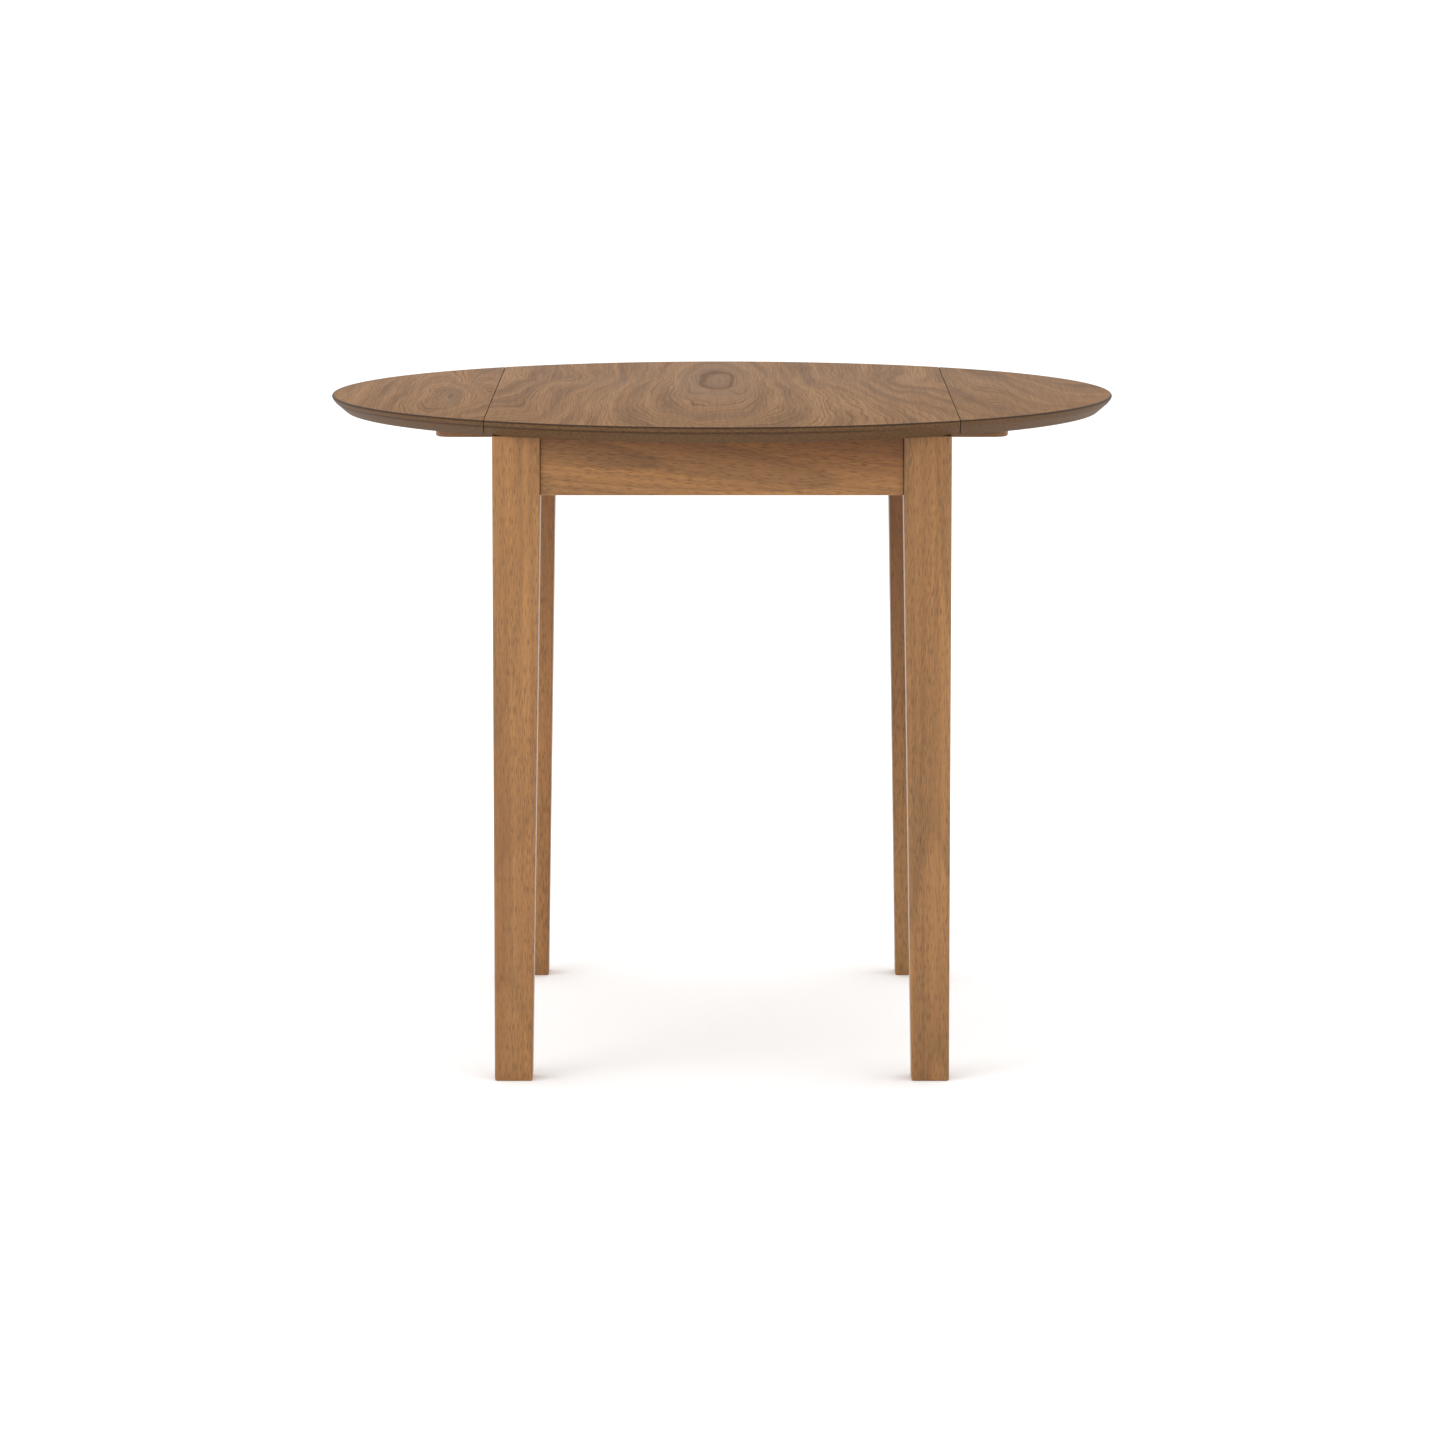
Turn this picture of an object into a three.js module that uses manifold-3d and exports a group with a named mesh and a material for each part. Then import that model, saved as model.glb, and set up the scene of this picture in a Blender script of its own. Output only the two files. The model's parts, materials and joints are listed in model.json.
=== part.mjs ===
// Round drop-leaf table: a fixed centre panel on a four-legged frame, with a half-moon leaf hinged on each side.
// One swivelling bar under the centre panel holds both leaves up, and turns into the frame to let them hang.
// Millimetres, +Z up, origin on the floor under the table's centre. X runs across the leaves, Y along the hinges.
import * as THREE from "three";
import { mergeVertices } from "three/addons/utils/BufferGeometryUtils.js";
import Module from "manifold-3d";

const wasm = await Module();
wasm.setup();

// Fits
const JOINT_GAP = 0.3; // between pieces that touch
const RUNNING_GAP = 0.5; // round a piece that turns

// Top
const TOP_DIAMETER = 900;
const TABLE_HEIGHT = 740;
const TOP_THICKNESS = 18;
const EDGE_ROUND = 2; // radius between the top face and the edge
const EDGE_BAND = 7; // height of the near-vertical band at the top of the edge
const EDGE_LEAN = 3; // how far that band leans in at its foot
const EDGE_UNDERCUT = 16; // how far in the bevel under the band meets the underside
const SEAM_OVERHANG = 9; // from the legs' outer faces to the hinge line beside them
const SEAM_GAP = 0.8;

// Frame
const FRAME_WIDTH = 507; // across the legs' outer faces, along X
const FRAME_LENGTH = 718; // along Y
const LEG_SIZE = 53;
const FOOT_SIZE = 42;
const LEG_OUTER_RADIUS = 4;
const LEG_INNER_RADIUS = 2.5;
const APRON_HEIGHT = 66;
const APRON_THICKNESS = 18;
const END_APRON_INSET = 5.5; // from the legs' outer faces
const SIDE_APRON_INSET = 11;
const TENON_LENGTH = 20;
const TENON_THICKNESS = 10;
const TENON_SHOULDER = 6; // above and below a tenon

// Corner braces and their bolts
const BRACE_THICKNESS = 15;
const BRACE_HEIGHT = 50;
const BRACE_STANDOFF = 1.2; // from the leg's inner corner
const BOLT_DIAMETER = 8;
const BOLT_DEPTH = 27; // into the leg
const BOLT_DROP = 47; // below the top of the frame
const BOLT_TAIL = 4; // past the nut
const NUT_ACROSS = 13;
const NUT_HEIGHT = 6.5;

// Leaf support
const BAR_END_CLEARANCE = 4.5; // to the end aprons when it is turned in
const BAR_WIDTH = 36;
const BAR_THICKNESS = 13;
const BAR_DROP = 19.5; // from the underside of the top to the top of the bar
const RAIL_WIDTH = 70;
const WASHER_DIAMETER = 24;
const WASHER_THICKNESS = 1.6;
const PIVOT_DIAMETER = 8;
const PIVOT_HEAD_DIAMETER = 19;
const PIVOT_HEAD_HEIGHT = 4.5;
const BUSH_WALL = 1.8;
const RAMP_START = 25; // from the hinge line
const RAMP_WIDTH = 35;
const RAMP_SLOPE = 0.25;
const NOTCH_DEPTH_UNDER_BAR = 1.5;

// Hinges
const HINGE_INSET = 56; // from a leg to the hinge beside it
const HINGE_LENGTH = 60;
const FLAP_WIDTH = 30;
const FLAP_THICKNESS = 1.6;
const KNUCKLE_RADIUS = 2.6;
const HINGE_PIN_DIAMETER = 2.4;
const SCREW_HOLE_DIAMETER = 3.6;
// Screw holes in a hinge flap, as shares of its width from the pin and of its length from the middle
const SCREW_PLACES = [
  [0.62, -0.34],
  [0.38, 0],
  [0.62, 0.34],
];

// Brackets that hold the top down
const BRACKET_WIDTH = 30;
const BRACKET_LEG = 25;
const BRACKET_THICKNESS = 2;
const BRACKET_SPACING = 220;

// Sizes that follow from those above
const topRadius = TOP_DIAMETER / 2;
const underside = TABLE_HEIGHT - TOP_THICKNESS;
const frameTop = underside - JOINT_GAP;
const apronBottom = underside - APRON_HEIGHT;
const legOuterX = FRAME_WIDTH / 2;
const legOuterY = FRAME_LENGTH / 2;
const legInnerX = legOuterX - LEG_SIZE;
const legInnerY = legOuterY - LEG_SIZE;
const seamOffset = legOuterX + SEAM_OVERHANG;
const endApronOuter = legOuterY - END_APRON_INSET;
const endApronInner = endApronOuter - APRON_THICKNESS;
const sideApronOuter = legOuterX - SIDE_APRON_INSET;
const sideApronInner = sideApronOuter - APRON_THICKNESS;
const barTop = underside - BAR_DROP;
const barBottom = barTop - BAR_THICKNESS;
const barHalf = endApronInner - BAR_END_CLEARANCE;
const washerUnderRail = barTop + JOINT_GAP;
const railBottom = washerUnderRail + WASHER_THICKNESS + JOINT_GAP;
const hingeAxis = frameTop - JOINT_GAP - KNUCKLE_RADIUS;

// Materials
const veneer = { color: 0x9a7a5e, roughness: 0.55, metalness: 0 };
const solidWood = { color: 0xa3774f, roughness: 0.6, metalness: 0 };
const barWood = { color: 0x77603f, roughness: 0.65, metalness: 0 };
const steel = { color: 0xb4b6b8, roughness: 0.35, metalness: 1 };
const brass = { color: 0xb08d4c, roughness: 0.35, metalness: 1 };

// Booleans
function solid(geometry) {
  const bare = geometry.index ? geometry.toNonIndexed() : geometry.clone();
  bare.deleteAttribute("normal");
  bare.deleteAttribute("uv");
  const merged = mergeVertices(bare, 1e-4);
  return new wasm.Manifold(
    new wasm.Mesh({
      numProp: 3,
      vertProperties: merged.attributes.position.array,
      triVerts: new Uint32Array(merged.index.array),
    }),
  );
}

function geometryOf(body) {
  const mesh = body.getMesh();
  const geometry = new THREE.BufferGeometry();
  geometry.setAttribute("position", new THREE.BufferAttribute(mesh.vertProperties, 3));
  geometry.setIndex(new THREE.BufferAttribute(mesh.triVerts, 1));
  geometry.computeVertexNormals();
  return geometry;
}

const join = (first, ...others) => others.reduce((sum, other) => sum.add(other), first);
const cut = (first, ...others) => others.reduce((rest, other) => rest.subtract(other), first);

// Shapes
function box(x0, x1, y0, y1, z0, z1) {
  const geometry = new THREE.BoxGeometry(x1 - x0, y1 - y0, z1 - z0);
  geometry.translate((x0 + x1) / 2, (y0 + y1) / 2, (z0 + z1) / 2);
  return solid(geometry);
}

function prism(points, z0, z1) {
  const shape = new THREE.Shape(points.map(([x, y]) => new THREE.Vector2(x, y)));
  const geometry = new THREE.ExtrudeGeometry(shape, { depth: z1 - z0, bevelEnabled: false });
  return geometry.translate(0, 0, z0);
}

// A cylinder along Z, or along another axis after the turn
function cylinder(diameter, length, segments = 24) {
  const geometry = new THREE.CylinderGeometry(diameter / 2, diameter / 2, length, segments);
  return geometry.rotateX(Math.PI / 2);
}

function rodUp(x, y, z0, z1, diameter, segments) {
  return solid(cylinder(diameter, z1 - z0, segments).translate(x, y, (z0 + z1) / 2));
}

function rodAlongY(x, z, y0, y1, diameter, segments) {
  const rod = cylinder(diameter, y1 - y0, segments).rotateX(Math.PI / 2);
  return solid(rod.translate(x, (y0 + y1) / 2, z));
}

function rodAlongX(y, z, x0, x1, diameter, segments) {
  const rod = cylinder(diameter, x1 - x0, segments).rotateY(Math.PI / 2);
  return solid(rod.translate((x0 + x1) / 2, y, z));
}

// A rod in the corner's diagonal, from one distance off the table's centre to another
const DIAGONAL = new THREE.Vector3(1, 1, 0).normalize();
const boltSide = (legInnerX - legInnerY) / 2; // the bolt's line runs through the leg's inner corner
function rodOnDiagonal(from, to, diameter, segments) {
  const rod = cylinder(diameter, to - from, segments);
  rod.applyQuaternion(new THREE.Quaternion().setFromUnitVectors(new THREE.Vector3(0, 0, 1), DIAGONAL));
  const middle = DIAGONAL.clone().multiplyScalar((from + to) / 2);
  return solid(rod.translate(middle.x + boltSide, middle.y - boltSide, frameTop - BOLT_DROP));
}

function piece(name, shape, finish) {
  const geometry = shape.isBufferGeometry ? shape : geometryOf(shape);
  const mesh = new THREE.Mesh(geometry, new THREE.MeshStandardMaterial(finish));
  mesh.name = name;
  return mesh;
}

// Top: one disc with a bevelled edge, sawn along the two hinge lines
function topDisc() {
  const band = TABLE_HEIGHT - EDGE_BAND;
  const profile = [
    [0, underside],
    [topRadius - EDGE_UNDERCUT, underside],
    [topRadius - EDGE_LEAN, band],
    [topRadius, TABLE_HEIGHT - EDGE_ROUND],
    [topRadius - EDGE_ROUND * 0.3, TABLE_HEIGHT - EDGE_ROUND * 0.3],
    [topRadius - EDGE_ROUND, TABLE_HEIGHT],
    [0, TABLE_HEIGHT],
  ];
  const lathe = new THREE.LatheGeometry(profile.map(([r, z]) => new THREE.Vector2(r, z)), 144);
  return solid(lathe.rotateX(Math.PI / 2));
}

function panelBetween(x0, x1) {
  const sawn = box(x0, x1, -topRadius - 1, topRadius + 1, underside - 1, TABLE_HEIGHT + 1);
  return topDisc().intersect(sawn);
}

// Legs: square to the bottom of the aprons, then tapered on their two inner faces
function legBlank() {
  const outer = LEG_OUTER_RADIUS;
  const inner = LEG_INNER_RADIUS;
  const shape = new THREE.Shape();
  shape.moveTo(inner, 0);
  shape.lineTo(LEG_SIZE - inner, 0);
  shape.absarc(LEG_SIZE - inner, inner, inner, -Math.PI / 2, 0);
  shape.lineTo(LEG_SIZE, LEG_SIZE - outer);
  shape.absarc(LEG_SIZE - outer, LEG_SIZE - outer, outer, 0, Math.PI / 2);
  shape.lineTo(inner, LEG_SIZE);
  shape.absarc(inner, LEG_SIZE - inner, inner, Math.PI / 2, Math.PI);
  shape.lineTo(0, inner);
  shape.absarc(inner, inner, inner, Math.PI, Math.PI * 1.5);
  const blank = new THREE.ExtrudeGeometry(shape, {
    depth: frameTop,
    steps: 2,
    curveSegments: 5,
    bevelEnabled: false,
  });
  const position = blank.attributes.position;
  const footScale = FOOT_SIZE / LEG_SIZE;
  for (let i = 0; i < position.count; i++) {
    const z = position.getZ(i);
    const level = z < frameTop * 0.25 ? 0 : z < frameTop * 0.75 ? 1 : 2;
    const scale = level === 0 ? footScale : 1;
    position.setXYZ(
      i,
      legOuterX - (LEG_SIZE - position.getX(i)) * scale,
      legOuterY - (LEG_SIZE - position.getY(i)) * scale,
      [0, apronBottom, frameTop][level],
    );
  }
  return solid(blank);
}

const endTenonMiddle = endApronOuter - APRON_THICKNESS / 2;
const sideTenonMiddle = sideApronOuter - APRON_THICKNESS / 2;
const tenonBottom = apronBottom + TENON_SHOULDER;
const tenonTop = frameTop - TENON_SHOULDER;

// A tenon, or with a clearance the mortise round it
function endTenon(clearance) {
  const half = TENON_THICKNESS / 2 + clearance;
  return box(
    legInnerX - JOINT_GAP - 1,
    legInnerX + TENON_LENGTH + clearance,
    endTenonMiddle - half,
    endTenonMiddle + half,
    tenonBottom - clearance,
    tenonTop + clearance,
  );
}

function sideTenon(clearance) {
  const half = TENON_THICKNESS / 2 + clearance;
  return box(
    sideTenonMiddle - half,
    sideTenonMiddle + half,
    legInnerY - JOINT_GAP - 1,
    legInnerY + TENON_LENGTH + clearance,
    tenonBottom - clearance,
    tenonTop + clearance,
  );
}

const legCorner = (legInnerX + legInnerY) / Math.SQRT2;
const braceOuter = legCorner - BRACE_STANDOFF;
const braceInner = braceOuter - BRACE_THICKNESS;

// The bolt's hole in the leg, which also goes through a tenon that it meets there
function legBore() {
  return rodOnDiagonal(
    legCorner - LEG_INNER_RADIUS * 2,
    legCorner + BOLT_DEPTH + JOINT_GAP,
    BOLT_DIAMETER + 2 * JOINT_GAP,
  );
}

function leg() {
  return cut(legBlank(), endTenon(JOINT_GAP), sideTenon(JOINT_GAP), legBore());
}

// Corner brace, its ends mitred to lie against the two aprons
function cornerBrace() {
  const x = sideApronInner - JOINT_GAP;
  const y = endApronInner - JOINT_GAP;
  const near = braceInner * Math.SQRT2;
  const far = braceOuter * Math.SQRT2;
  const outline = [
    [x, near - x],
    [x, far - x],
    [far - y, y],
    [near - y, y],
  ];
  const top = frameTop - (APRON_HEIGHT - BRACE_HEIGHT) / 2;
  const bore = rodOnDiagonal(braceInner - 1, braceOuter + 1, BOLT_DIAMETER + 2 * JOINT_GAP);
  return cut(solid(prism(outline, top - BRACE_HEIGHT, top)), bore);
}

const nutInner = braceInner - JOINT_GAP - NUT_HEIGHT;

function hangerBolt() {
  return rodOnDiagonal(nutInner - BOLT_TAIL, legCorner + BOLT_DEPTH, BOLT_DIAMETER);
}

function hangerNut() {
  const corners = (NUT_ACROSS * 2) / Math.sqrt(3);
  const nut = rodOnDiagonal(nutInner, nutInner + NUT_HEIGHT, corners, 6);
  return cut(nut, rodOnDiagonal(nutInner - 1, braceInner, BOLT_DIAMETER + 2 * JOINT_GAP));
}

// Aprons
function endApron() {
  const half = legInnerX - JOINT_GAP;
  const board = box(-half, half, endApronInner, endApronOuter, apronBottom, frameTop);
  const right = cut(endTenon(0), legBore());
  return join(board, right, right.mirror([1, 0, 0]));
}

// The window that the bar turns through: its far end is where the bar's round end leaves the apron
const barEndCentre = barHalf - BAR_WIDTH / 2;
function notchReach() {
  let reach = 0;
  for (let angle = 0; angle <= Math.PI / 2; angle += Math.PI / 720) {
    const x = barEndCentre * Math.cos(angle);
    const y = barEndCentre * Math.sin(angle);
    const short = Math.max(0, sideApronInner - x);
    if (short < BAR_WIDTH / 2) {
      reach = Math.max(reach, y + Math.sqrt((BAR_WIDTH / 2) ** 2 - short ** 2));
    }
  }
  return reach;
}

const notchStart = -BAR_WIDTH / 2 - RUNNING_GAP;
const notchEnd = notchReach() + 3 * RUNNING_GAP;
const notchFloor = barBottom - NOTCH_DEPTH_UNDER_BAR;
const hingeMiddle = legInnerY - HINGE_INSET - HINGE_LENGTH / 2;
const hingeMiddles = [-hingeMiddle, hingeMiddle];

function sideApron() {
  const half = legInnerY - JOINT_GAP;
  const board = box(sideApronInner, sideApronOuter, -half, half, apronBottom, frameTop);
  const back = cut(sideTenon(0), legBore());
  const front = back.mirror([0, 1, 0]);
  const window = box(
    sideApronInner - 1,
    sideApronOuter + 1,
    notchStart,
    notchEnd,
    notchFloor,
    frameTop + 1,
  );
  const housings = hingeMiddles.map((y) =>
    box(
      seamOffset - FLAP_WIDTH - RUNNING_GAP,
      sideApronOuter + 1,
      y - HINGE_LENGTH / 2 - RUNNING_GAP,
      y + HINGE_LENGTH / 2 + RUNNING_GAP,
      frameTop - FLAP_THICKNESS - RUNNING_GAP,
      frameTop + 1,
    ),
  );
  return cut(join(board, back, front), window, ...housings);
}

// Centre rail, which carries the bar's pivot, and the bar with its pivot's hardware
function centreRail() {
  const half = endApronInner - JOINT_GAP;
  const board = box(-RAIL_WIDTH / 2, RAIL_WIDTH / 2, -half, half, railBottom, frameTop);
  const bore = rodUp(0, 0, railBottom - 1, frameTop + 1, PIVOT_DIAMETER + 2 * JOINT_GAP);
  const headSeat = rodUp(
    0,
    0,
    frameTop - PIVOT_HEAD_HEIGHT - 2 * JOINT_GAP,
    frameTop + 1,
    PIVOT_HEAD_DIAMETER + 2 * JOINT_GAP,
    32,
  );
  return cut(board, bore, headSeat);
}

const bushOuter = PIVOT_DIAMETER + 2 * JOINT_GAP + 2 * BUSH_WALL;

function supportBar() {
  const shape = new THREE.Shape();
  const radius = BAR_WIDTH / 2;
  shape.absarc(barEndCentre, 0, radius, -Math.PI / 2, Math.PI / 2);
  shape.absarc(-barEndCentre, 0, radius, Math.PI / 2, Math.PI * 1.5);
  const blank = new THREE.ExtrudeGeometry(shape, {
    depth: BAR_THICKNESS,
    curveSegments: 16,
    bevelEnabled: false,
  });
  const bore = rodUp(0, 0, barBottom - 1, barTop + 1, bushOuter + 2 * JOINT_GAP, 32);
  return cut(solid(blank.translate(0, 0, barBottom)), bore);
}

function ring(z0, z1, outer, inner, segments = 32) {
  return cut(rodUp(0, 0, z0, z1, outer, segments), rodUp(0, 0, z0 - 1, z1 + 1, inner));
}

const lowerWasherTop = barBottom - JOINT_GAP;
const pivotNutTop = lowerWasherTop - WASHER_THICKNESS - JOINT_GAP;
const pivotBore = PIVOT_DIAMETER + 2 * JOINT_GAP;

function pivotBolt() {
  const headTop = frameTop - JOINT_GAP;
  const shank = rodUp(
    0,
    0,
    pivotNutTop - NUT_HEIGHT - BOLT_TAIL / 2,
    headTop - PIVOT_HEAD_HEIGHT / 2,
    PIVOT_DIAMETER,
  );
  return join(shank, rodUp(0, 0, headTop - PIVOT_HEAD_HEIGHT, headTop, PIVOT_HEAD_DIAMETER, 32));
}

function pivotNut() {
  const corners = (NUT_ACROSS * 2) / Math.sqrt(3);
  const nut = rodUp(0, 0, pivotNutTop - NUT_HEIGHT, pivotNutTop, corners, 6);
  return cut(nut, rodUp(0, 0, pivotNutTop - NUT_HEIGHT - 1, pivotNutTop + 1, pivotBore));
}

// Wedge under a leaf: it rests on the bar's trailing edge, and lets go as the bar turns away
function leafRamp() {
  const half = BAR_WIDTH / 2;
  const contact = barTop + JOINT_GAP;
  const profile = [
    [-half, contact],
    [half, contact + RAMP_SLOPE * BAR_WIDTH],
    [half, frameTop],
    [-half, frameTop],
  ];
  const wedge = prism(profile, 0, RAMP_WIDTH);
  wedge.rotateX(Math.PI / 2).rotateZ(Math.PI / 2);
  return wedge.translate(seamOffset + RAMP_START, 0, 0);
}

// Hinges
const knuckleLength = HINGE_LENGTH / 3;
const flapBottom = frameTop - FLAP_THICKNESS;

function screwHoles(x0, x1, y) {
  return SCREW_PLACES.map(([across, along]) =>
    rodUp(
      x0 + (x1 - x0) * across,
      y + HINGE_LENGTH * along,
      flapBottom - 1,
      frameTop + 1,
      SCREW_HOLE_DIAMETER,
      14,
    ),
  );
}

function hingeBarrel(y, from, to, diameter) {
  const start = y - HINGE_LENGTH / 2 + from * knuckleLength;
  const end = y - HINGE_LENGTH / 2 + to * knuckleLength;
  return rodAlongY(seamOffset, hingeAxis, start, end, diameter, 20);
}

function fixedFlap(y) {
  const inner = seamOffset - FLAP_WIDTH;
  const plate = box(inner, seamOffset, y - HINGE_LENGTH / 2, y + HINGE_LENGTH / 2, flapBottom, frameTop);
  const whole = join(plate, hingeBarrel(y, 0, 3, 2 * KNUCKLE_RADIUS));
  const gap = RUNNING_GAP / knuckleLength;
  return cut(
    whole,
    hingeBarrel(y, 1 - gap, 2 + gap, 2 * (KNUCKLE_RADIUS + RUNNING_GAP)),
    box(
      seamOffset - RUNNING_GAP,
      seamOffset + KNUCKLE_RADIUS + 1,
      y - knuckleLength / 2 - RUNNING_GAP,
      y + knuckleLength / 2 + RUNNING_GAP,
      hingeAxis,
      frameTop + 1,
    ),
    hingeBarrel(y, -1, 4, HINGE_PIN_DIAMETER + 2 * JOINT_GAP),
    ...screwHoles(seamOffset, inner, y),
  );
}

function movingFlap(y) {
  const outer = seamOffset + FLAP_WIDTH;
  const plate = box(seamOffset, outer, y - HINGE_LENGTH / 2, y + HINGE_LENGTH / 2, flapBottom, frameTop);
  const clear = [
    [-1, 1],
    [2, 4],
  ].flatMap(([from, to]) => {
    const start = y - HINGE_LENGTH / 2 + from * knuckleLength;
    const end = y - HINGE_LENGTH / 2 + to * knuckleLength;
    return [
      hingeBarrel(y, from, to, 2 * (KNUCKLE_RADIUS + RUNNING_GAP)),
      box(seamOffset - 1, seamOffset + RUNNING_GAP, start, end, hingeAxis, frameTop + 1),
    ];
  });
  const gap = RUNNING_GAP / knuckleLength / 2;
  return cut(
    join(cut(plate, ...clear), hingeBarrel(y, 1 + gap, 2 - gap, 2 * KNUCKLE_RADIUS)),
    hingeBarrel(y, -1, 4, HINGE_PIN_DIAMETER + 2 * JOINT_GAP),
    ...screwHoles(seamOffset, outer, y),
  );
}

function hingePin(y) {
  return hingeBarrel(y, 0, 3, HINGE_PIN_DIAMETER);
}

// Angle bracket between an end apron and the top
function topBracket(x) {
  const wall = endApronInner - JOINT_GAP;
  const profile = [
    [0, 0],
    [0, -BRACKET_LEG],
    [-BRACKET_THICKNESS, -BRACKET_LEG],
    [-BRACKET_THICKNESS, -BRACKET_THICKNESS],
    [-BRACKET_LEG, -BRACKET_THICKNESS],
    [-BRACKET_LEG, 0],
  ];
  const angle = prism(profile, 0, BRACKET_WIDTH);
  angle.rotateX(Math.PI / 2).rotateZ(Math.PI / 2);
  angle.translate(x - BRACKET_WIDTH / 2, wall, frameTop);
  const out = BRACKET_LEG * 0.6;
  const holes = [-1, 1].flatMap((side) => {
    const across = x + (side * BRACKET_WIDTH) / 4;
    return [
      rodUp(across, wall - out, frameTop - BRACKET_LEG / 2, frameTop + 1, SCREW_HOLE_DIAMETER, 14),
      rodAlongY(
        across,
        frameTop - out,
        wall - BRACKET_LEG / 2,
        wall + 1,
        SCREW_HOLE_DIAMETER,
        14,
      ),
    ];
  });
  return cut(solid(angle), ...holes);
}

// Assembly: each corner is one corner mirrored, and each side is one side turned round
const table = new THREE.Group();
table.name = "drop_leaf_table";

table.add(piece("centre_panel", panelBetween(-seamOffset + SEAM_GAP / 2, seamOffset - SEAM_GAP / 2), veneer));
table.add(piece("centre_rail", centreRail(), solidWood));
table.add(piece("support_bar", supportBar(), barWood));
table.add(piece("pivot_bush", ring(barBottom, barTop, bushOuter, pivotBore), brass));
table.add(piece("pivot_bolt", pivotBolt(), steel));
table.add(piece("pivot_nut", pivotNut(), steel));
table.add(
  piece(
    "pivot_washer_upper",
    ring(washerUnderRail, washerUnderRail + WASHER_THICKNESS, WASHER_DIAMETER, pivotBore),
    steel,
  ),
);
table.add(
  piece(
    "pivot_washer_lower",
    ring(lowerWasherTop - WASHER_THICKNESS, lowerWasherTop, WASHER_DIAMETER, pivotBore),
    steel,
  ),
);

for (const [acrossName, sx] of [["left", -1], ["right", 1]]) {
  for (const [alongName, sy] of [["front", -1], ["back", 1]]) {
    const corner = new THREE.Group();
    const place = `${alongName}_${acrossName}`;
    corner.scale.set(sx, sy, 1);
    corner.add(piece(`leg_${place}`, leg(), solidWood));
    corner.add(piece(`corner_brace_${place}`, cornerBrace(), solidWood));
    corner.add(piece(`hanger_bolt_${place}`, hangerBolt(), steel));
    corner.add(piece(`hanger_nut_${place}`, hangerNut(), steel));
    table.add(corner);
  }
}

for (const [name, turn] of [["back", 0], ["front", Math.PI]]) {
  const end = new THREE.Group();
  end.rotation.z = turn;
  end.add(piece(`apron_${name}`, endApron(), solidWood));
  [-1, 1].forEach((side, i) => {
    const bracket = topBracket((side * BRACKET_SPACING) / 2);
    end.add(piece(`top_bracket_${name}_${i + 1}`, bracket, steel));
  });
  table.add(end);
}

for (const [name, turn] of [["right", 0], ["left", Math.PI]]) {
  const side = new THREE.Group();
  side.rotation.z = turn;
  side.add(piece(`leaf_${name}`, panelBetween(seamOffset + SEAM_GAP / 2, topRadius + 1), veneer));
  side.add(piece(`leaf_ramp_${name}`, leafRamp(), solidWood));
  side.add(piece(`apron_${name}`, sideApron(), solidWood));
  hingeMiddles.forEach((y, i) => {
    side.add(piece(`hinge_flap_fixed_${name}_${i + 1}`, fixedFlap(y), steel));
    side.add(piece(`hinge_flap_moving_${name}_${i + 1}`, movingFlap(y), steel));
    side.add(piece(`hinge_pin_${name}_${i + 1}`, hingePin(y), steel));
  });
  table.add(side);
}

export default table;
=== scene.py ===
import json
from math import acos, cos, pi, radians, sin, sqrt, tau

import bmesh
import bpy
from mathutils import Matrix, Vector


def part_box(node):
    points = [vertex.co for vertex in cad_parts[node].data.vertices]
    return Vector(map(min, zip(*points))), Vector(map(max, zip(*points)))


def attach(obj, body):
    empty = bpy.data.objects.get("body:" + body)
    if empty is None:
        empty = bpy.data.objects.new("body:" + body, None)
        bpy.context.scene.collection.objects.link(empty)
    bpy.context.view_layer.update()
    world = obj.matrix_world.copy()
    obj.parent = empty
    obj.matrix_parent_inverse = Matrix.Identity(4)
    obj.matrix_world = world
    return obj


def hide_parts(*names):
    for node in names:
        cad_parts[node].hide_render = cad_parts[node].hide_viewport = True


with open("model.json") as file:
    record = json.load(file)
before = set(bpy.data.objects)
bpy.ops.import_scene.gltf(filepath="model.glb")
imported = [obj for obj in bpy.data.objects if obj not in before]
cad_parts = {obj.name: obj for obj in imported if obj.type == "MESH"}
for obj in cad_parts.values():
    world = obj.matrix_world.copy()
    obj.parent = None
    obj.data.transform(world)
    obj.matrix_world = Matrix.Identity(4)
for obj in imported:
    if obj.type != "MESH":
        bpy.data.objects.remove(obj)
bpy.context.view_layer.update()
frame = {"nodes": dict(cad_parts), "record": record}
print("frame loaded:", len(frame["nodes"]), "nodes")

mm = 0.001
sides = {"left": -1, "right": 1}
ends = {"front": -1, "back": 1}
tableCorners = [(end, side, ends[end], sides[side]) for end in ends for side in sides]


# camera, lights and floor

def addCamera():
    view = {
        "place": (0.0006, -7.393, 1.3675),
        "pitch": 7.80,  # degrees below level
        "lens": 159.7,
        "sensor": 36,
        "reach": 400,
    }
    data = bpy.data.cameras.new("camera")
    data.lens = view["lens"]
    data.sensor_width = view["sensor"]
    data.clip_end = view["reach"]
    camera = bpy.data.objects.new("camera", data)
    camera.location = view["place"]
    camera.rotation_euler = (radians(90 - view["pitch"]), 0, 0)
    bpy.context.scene.collection.objects.link(camera)
    bpy.context.scene.camera = camera


def addLight(name, place, aim, size, power):
    data = bpy.data.lights.new(name, "AREA")
    data.shape = "RECTANGLE"
    data.size, data.size_y = size
    data.energy = power
    light = bpy.data.objects.new(name, data)
    light.location = place
    light.rotation_euler = (Vector(aim) - Vector(place)).to_track_quat("-Z", "Y").to_euler()
    bpy.context.scene.collection.objects.link(light)


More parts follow.
